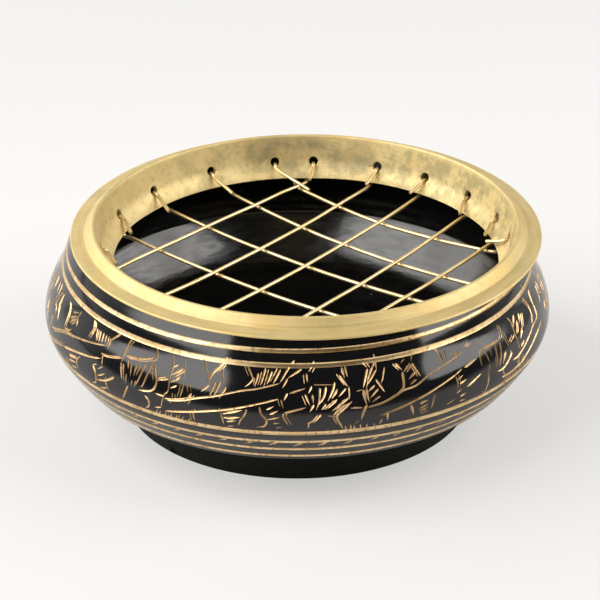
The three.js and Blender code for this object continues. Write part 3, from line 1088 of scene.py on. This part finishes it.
def ring_section():
    """The ring's section from the lip up the funnel, over the crest and out to the flange, then back
    along the underside and down behind the funnel."""
    centre = FUNNEL_CENTRE
    face = bend(centre, FUNNEL_ROUND, -FUNNEL_TURN, -THROAT_LEAN, 26)
    crest_round = 0.6
    rise = CREST_TOP - crest_round * (1 - sine(THROAT_LEAN)) - face[-1][1]
    spread = rise * sine(THROAT_LEAN) / cosine(THROAT_LEAN)
    r, z = face[-1]
    throat = [(r + spread * share, z + rise * share) for share in (0.2, 0.4, 0.6, 0.8, 1.0)]
    crest = (throat[-1][0] + crest_round * cosine(THROAT_LEAN), CREST_TOP - crest_round)
    over = throat[:-1] + bend(crest, crest_round, 180 - THROAT_LEAN, 45, 12)
    step = RING_RADIUS - 3.8
    slope_top, slope_foot = Vector(over[-1]), Vector((step - 0.1, RING_BASE + 1.75))
    ridges = [
        tuple(slope_top.lerp(slope_foot, share) + Vector((0.05, 0.05)) * ridge)
        for share, ridge in ((0, 0), (0.18, 1), (0.3, -1.2), (0.48, 0.8), (0.62, -1.2), (0.85, 1))
    ]
    outside = ridges + ease_corners([
        (step - 0.1, RING_BASE + 1.75),
        (step + 0.15, RING_BASE + 1.25),
        (step + 0.5, RING_BASE + 1.08),
        (RING_RADIUS - 0.21, RING_BASE + FLANGE_EDGE),
        (RING_RADIUS, RING_BASE + 0.28),
        (RING_RADIUS - 0.28, RING_BASE),
        (THROAT_RADIUS + RING_WALL, RING_BASE),
        (THROAT_RADIUS + RING_WALL, centre[1] + 0.4),
    ], 0.22)
    back = bend(centre, FUNNEL_ROUND + RING_WALL, 0, -53, 24)
    lip = ease_corners([back[-1], (back[-1][0] - 0.25, back[-1][1] - 0.12), face[0]], 0.2)
    return Section(face + over + outside[1:] + back + lip[1:])


def hole_outline(angle, surface_radius, hole_radius):
    """Where a hole square through the funnel meets the round of that radius, as points in space."""
    sides, centre, flat = 28, FUNNEL_CENTRE, cosine(HOLE_TURN)
    axis = np.array([flat * cosine(angle), flat * sine(angle), -sine(HOLE_TURN)])
    aside = np.array([-sine(angle), cosine(angle), 0])
    up = np.cross(axis, aside)
    hub = np.array([centre[0] * cosine(angle), centre[0] * sine(angle), centre[1]])
    out = []
    for i in range(sides):
        turn = 2 * math.pi * i / sides
        rim = hole_radius * (aside * math.cos(turn) + up * math.sin(turn))
        spot = hub + axis * surface_radius + rim
        for _ in range(12):
            from_centre = math.hypot(spot[0], spot[1]) - centre[0], spot[2] - centre[1]
            spot = spot - axis * (math.hypot(*from_centre) - surface_radius)
        out.append(spot)
    return out


def lay_flat(spots, radius, centre_angle, back_start=None):
    """The places on the flat sheet of points on the funnel's face, or where it is given at what distance
    along the section the funnel's back starts, of points on its back."""
    out = []
    for spot in spots:
        r = math.hypot(spot[0], spot[1])
        turn = math.degrees(math.atan2(FUNNEL_CENTRE[1] - spot[2], r - FUNNEL_CENTRE[0]))
        angle = math.degrees(math.atan2(spot[1], spot[0]))
        angle = centre_angle + (angle - centre_angle + 180) % 360 - 180
        if back_start is None:
            v = math.radians(FUNNEL_TURN - turn) * FUNNEL_ROUND
        else:
            v = back_start + math.radians(turn) * (FUNNEL_ROUND + RING_WALL)
        out.append((math.radians(angle) * radius, v))
    return out


def make_ring(brass):
    section = ring_section()
    past_crest = section.along > section.along[section.line[:, 1].argmax()]
    back_start = section.along[past_crest & (section.line[:, 1] < FUNNEL_CENTRE[1] + 1e-6)][0]
    unroll = 54.0
    seam = 76
    holes, walls = [], []
    for wire in WIRES["upper"] + WIRES["lower"]:
        for end in wire[1:]:
            angle = seam + (end[0] - seam) % 360
            chamfered = hole_outline(angle, FUNNEL_ROUND, HOLE_RADIUS + 0.14)
            back = hole_outline(angle, FUNNEL_ROUND + RING_WALL, HOLE_RADIUS)
            inner = hole_outline(angle, FUNNEL_ROUND + 0.16, HOLE_RADIUS)
            holes += [lay_flat(chamfered, unroll, angle), lay_flat(back, unroll, angle, back_start)]
            walls += [(chamfered, inner), (inner, back)]

    def uneven(points):
        """The crest isn't quite level all round, and the lip was left a little rough."""
        lip_height = 40
        rise = np.clip((points[:, 2] - (RING_BASE + 1.3)) / 1.2, 0, 1)
        drop = np.clip((lip_height - points[:, 2]) / 1.5, 0, 1)
        turn = np.arctan2(points[:, 1], points[:, 0])
        points = points.copy()
        points[:, 2] += rise * (-0.06 * np.sin(turn) + 0.04 * np.sin(3 * turn + 1))
        points[:, 2] += drop * (0.07 * np.sin(7 * turn) + 0.06 * np.sin(16 * turn + 2) * np.sin(3 * turn))
        return points + np.array([RING_OFFSET, 0, 0])

    skin = Skin()
    rows = list(section.stations(1.4, 9))
    turn_carved(skin, section, unroll, 288, rows, seam, holes=holes, move=uneven)
    for wall in walls:
        wall_between(skin, *(np.array(edge) + (RING_OFFSET, 0, 0) for edge in wall))
    return skin.piece("brass_ring", [brass, brass])


def funnel_place(angle, radius, turn):
    """A point round the ring from its place in the funnel's section, its height from the ring's base."""
    r = FUNNEL_CENTRE[0] + radius * cosine(turn)
    z = FUNNEL_CENTRE[1] - RING_BASE - radius * sine(turn)
    return around(angle, r, z)


def around(angle, r, z):
    return Vector((r * cosine(angle), r * sine(angle), z))


def behind_lip_radius():
    return FUNNEL_CENTRE[0] + (FUNNEL_ROUND + RING_WALL) * cosine(BEHIND_LIP_TURN)


def hook(end, level):
    """One end of a wire, from its cut tip through the hole to where it passes under the lip."""
    hole, lip, tip, reach = end
    inside, outside = FUNNEL_ROUND - WIRE_GAP, FUNNEL_ROUND + RING_WALL + WIRE_GAP
    half = (outside - inside) / 2
    drop = math.degrees(math.asin(half / outside))
    over = []
    for i in range(7):
        swing = 180 * i / 6
        turn = WIRE_TURN + drop * (1 - sine(swing))
        over.append(funnel_place(hole, (inside + outside) / 2 - half * cosine(swing), turn))
    lip_radius = FUNNEL_CENTRE[0] + FUNNEL_ROUND * cosine(FUNNEL_TURN)
    behind = [
        funnel_place(blend(hole, lip, share), outside, blend(WIRE_TURN + drop, BEHIND_LIP_TURN, share))
        for share in (0.35, 0.7)
    ]
    start = around(tip, lip_radius - reach, WIRE_GAP - LIP_DROP)
    under = around(lip, behind_lip_radius() + WIRE_GAP * 0.4, level + WIRE_GAP * 0.15)
    return [start, *over, *behind, under]


def run_between(wire, level, hand):
    """The run between the two lips, bowed sideways and sagging, not quite even."""
    bow, first, last = wire
    net_radius = behind_lip_radius() - WIRE_DIAMETER
    start, finish = (around(end[1], net_radius, level) for end in (first, last))
    ahead = (finish - start).normalized()
    side = Vector((-ahead.y, ahead.x, 0))
    points = []
    for i in range(9):
        share = i / 8
        point = start.lerp(finish, share) + side * bow * 4 * share * (1 - share)
        point.z -= WIRE_SAG * (1 - (point.x ** 2 + point.y ** 2) / net_radius ** 2)
        if 0 < i < 8:
            point += side * hand.uniform(-0.12, 0.12)
            point.z += hand.uniform(-0.05, 0.05)
        points.append(point)
    return points


def thread(points, spacing):
    """A smooth line through unevenly spaced points, with a point about every so far."""
    line = [points[0] * 2 - points[1], *points, points[-1] * 2 - points[-2]]
    out = []
    for p0, p1, p2, p3 in zip(line, line[1:], line[2:], line[3:]):
        k0, k1, k2 = (max((b - a).length ** 0.5, 1e-3) for a, b in ((p0, p1), (p1, p2), (p2, p3)))
        leave = ((p1 - p0) / k0 - (p2 - p0) / (k0 + k1) + (p2 - p1) / k1) * k1
        reach = ((p2 - p1) / k1 - (p3 - p1) / (k1 + k2) + (p3 - p2) / k2) * k1
        steps = max(2, math.ceil((p2 - p1).length / spacing))
        for i in range(steps):
            t = i / steps
            out.append(
                p1 * (2 * t ** 3 - 3 * t ** 2 + 1) + leave * (t ** 3 - 2 * t ** 2 + t)
                + p2 * (3 * t ** 2 - 2 * t ** 3) + reach * (t ** 3 - t ** 2)
            )
    return out + [points[-1]]


def draw_wire(name, points, diameter, brass, shift):
    """A round wire with cut ends along a line of points."""
    sides, spacing = 14, 0.55
    line = [p + shift for p in thread(points, spacing)]
    last = len(line) - 1
    lean = [(line[min(i + 1, last)] - line[max(i - 1, 0)]).normalized() for i in range(len(line))]
    side = lean[0].orthogonal().normalized()
    skin = Skin()
    places, normals = [], []
    for i, (point, ahead) in enumerate(zip(line, lean)):
        side = (side - ahead * side.dot(ahead)).normalized()
        other = ahead.cross(side)
        radius = diameter / 2 * (0.9 if i in (0, last) else 1)
        for k in range(sides):
            turn = 2 * math.pi * k / sides
            out = side * math.cos(turn) + other * math.sin(turn)
            places.append(point + out * radius)
            normals.append(out)
    faces = []
    for start in range(0, last * sides, sides):
        for k in range(sides):
            after = (k + 1) % sides
            faces.append([start + k, start + after, start + sides + after, start + sides + k])
    normals = np.array([tuple(n) for n in normals])
    corner = np.array(faces).reshape(-1)
    skin.add([tuple(p) for p in places], faces, normals[corner], [PLAIN] * len(faces))
    for i, facing in ((0, -lean[0]), (last, lean[-1])):
        ring = list(range(i * sides, (i + 1) * sides))
        if i == 0:
            ring.reverse()
        cap = [tuple(places[k]) for k in ring]
        skin.add(cap, [list(range(sides))], [tuple(facing)] * sides, [PLAIN])
    return skin.piece(name, [brass])


def make_coaster(wood, raw):
    """The carved sheet leaves a round gap in the middle of the top and of the underside, for a lid."""
    radius, top, middle, edge_round = 44.0, 8.0, 3, 1.2
    columns = 180
    upper = ease_corners([(0, top), (radius - 12, top), (radius, top), (radius, middle)], edge_round, 10)
    lower = ease_corners([(radius, middle), (radius, 0), (radius - 12, 0), (0, 0)], 0.35, 6)
    section = Section(upper + lower)
    skin = Skin()
    side_start = radius - edge_round
    chip_places = ((235.5, side_start + 1.6), (236.6, side_start + 2.1))
    chip = Stroke(0.55, [(math.radians(angle) * radius, v) for angle, v in chip_places])
    rows = list(section.stations(2.2, 12))[1:-1]
    turn_carved(skin, section, radius, columns, rows, BACK, [chip])
    first, last = (tuple(section.at(row)[:2]) for row in (rows[0], rows[-1]))
    for line in ([(0, top), first], [last, (0, 0)]):
        lid = Section(line)
        turn_plain(skin, lid, columns, [0, lid.length / 2, lid.length], PLAIN, BACK)
    for angle, size in ((225.1, 0.75), (226.4, 0.45), (312.5, 0.4)):
        add_splinter(skin, angle, radius, size)
    return skin.piece("turned_coaster", [wood, raw])


def add_splinter(skin, angle, radius, size):
    """A crumb of black wood raised at the coaster's lower edge."""
    outline = ((0, 1), (0.6, 0.7), (1, 0), (0.5, -0.6), (0, -0.7))
    crumb = Section([(r * size, z * size) for r, z in outline])
    hub = np.array([radius * cosine(angle), radius * sine(angle), 1.2 * size])
    turn_plain(skin, crumb, 9, crumb.along, move=lambda points: points + hub)


def dress(obj, body, node):
    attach(obj, body)
    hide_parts(node)


def make_pieces():
    line_brass = make_cut_brass("turned_line_brass", (0.9, 0.68, 0.38), (0.7, 0.48, 0.23), 0.31)
    stroke_brass = make_cut_brass("engraved_brass", (0.7, 0.48, 0.25), (0.5, 0.33, 0.16), 0.36)
    dress(make_coaster(make_black_wood(), make_raw_wood()), "coaster", "coaster")
    bowl = make_bowl([make_lacquer(), line_brass, make_inner_lacquer(), stroke_brass])
    dress(bowl, "burner", "bowl")
    dress(make_ring(make_aged_brass()), "burner", "rim_ring")
    wire_brass = make_wire_brass()
    hand = random.Random(9)
    shift = Vector((RING_OFFSET, 0, RING_BASE))
    for net, wires in WIRES.items():
        level = NET_LEVEL[net]
        for i, wire in enumerate(wires, 1):
            points = hook(wire[1], level) + run_between(wire, level, hand) + hook(wire[2], level)[::-1]
            piece = draw_wire(f"net_wire_{net}_{i}", points, WIRE_DIAMETER, wire_brass, shift)
            dress(piece, "burner", f"{net}_wire_{i}")


# Studio


def make_floor():
    mesh = bpy.data.meshes.new("floor")
    half = 2.5
    corners = [(x * half, y * half, 0) for x, y in ((-1, -1), (1, -1), (1, 1), (-1, 1))]
    mesh.from_pydata(corners, [], [(0, 1, 2, 3)])
    mesh.materials.append(make_floor_finish())
    put("floor", mesh)


def softbox(name, near, far, bottom, top, radiance):
    """An upright flat lamp between two places round the bowl, each an angle and a distance in metres."""
    first, second = (around(angle, 1, 0) * distance for angle, distance in (near, far))
    width = (second - first).length
    data = bpy.data.lights.new(name, "AREA")
    data.shape = "RECTANGLE"
    data.size, data.size_y = width, top - bottom
    data.energy = radiance * math.pi * width * (top - bottom)
    data.color = (1, 0.982, 0.95)
    lamp = put(name, data)
    middle = (first + second) / 2
    square = Vector((second.y - first.y, first.x - second.x, 0))
    if square.dot(middle) < 0:
        square.negate()
    lamp.location = middle + Vector((0, 0, (top + bottom) / 2))
    lamp.rotation_euler = square.to_track_quat("Z", "Y").to_euler()
    lamp.visible_camera = False


def make_light():
    world = bpy.data.worlds.new("studio")
    bpy.context.scene.world = world
    f = Finish(world)
    x, y, z = f.parts(f.make("ShaderNodeTexCoord", output="Generated"))
    behind = f.step(y, -0.1, 0.5) * f.step(z, 0.95, 0.6)
    level = 0.06 + 0.8 * behind * (1 - 0.45 * f.step(x, -0.1, 0.5))
    seen = f.make("ShaderNodeLightPath", output="Is Camera Ray")
    room = f.make("ShaderNodeBackground", inputs={0: (1, 0.99, 0.975, 1), 1: level})
    backdrop = f.make("ShaderNodeBackground", inputs={0: (0.939, 0.931, 0.913, 1), 1: 1.0})
    both = f.make("ShaderNodeMixShader", inputs={0: seen, 1: room, 2: backdrop})
    f.make("ShaderNodeOutputWorld", inputs={0: both})
    softbox("left_softbox", (239, 0.6), (150, 1.2), 0.17, 1.4, 4.1)
    softbox("right_softbox", (327, 0.6), (22, 1.0), 0.16, 1.1, 4.0)


def make_camera():
    data = bpy.data.cameras.new("camera")
    data.lens, data.sensor_width = 163.7, 36
    data.shift_x, data.shift_y = 0.004567, 0.00983
    data.clip_start = 0.01
    camera = put("camera", data)
    elevation, roll, distance, target = 27.13, -0.2, 0.6888, 0.0246
    tilt = Matrix.Rotation(math.radians(90 - elevation), 4, "X")
    turn = Matrix.Rotation(math.radians(roll), 4, "Z")
    away = Vector((0, -cosine(elevation), sine(elevation))) * distance
    camera.matrix_world = Matrix.Translation(away + Vector((0, 0, target))) @ tilt @ turn
    bpy.context.scene.camera = camera


make_camera()
make_floor()
make_light()
make_pieces()
bpy.context.scene.view_settings.view_transform = "Standard"
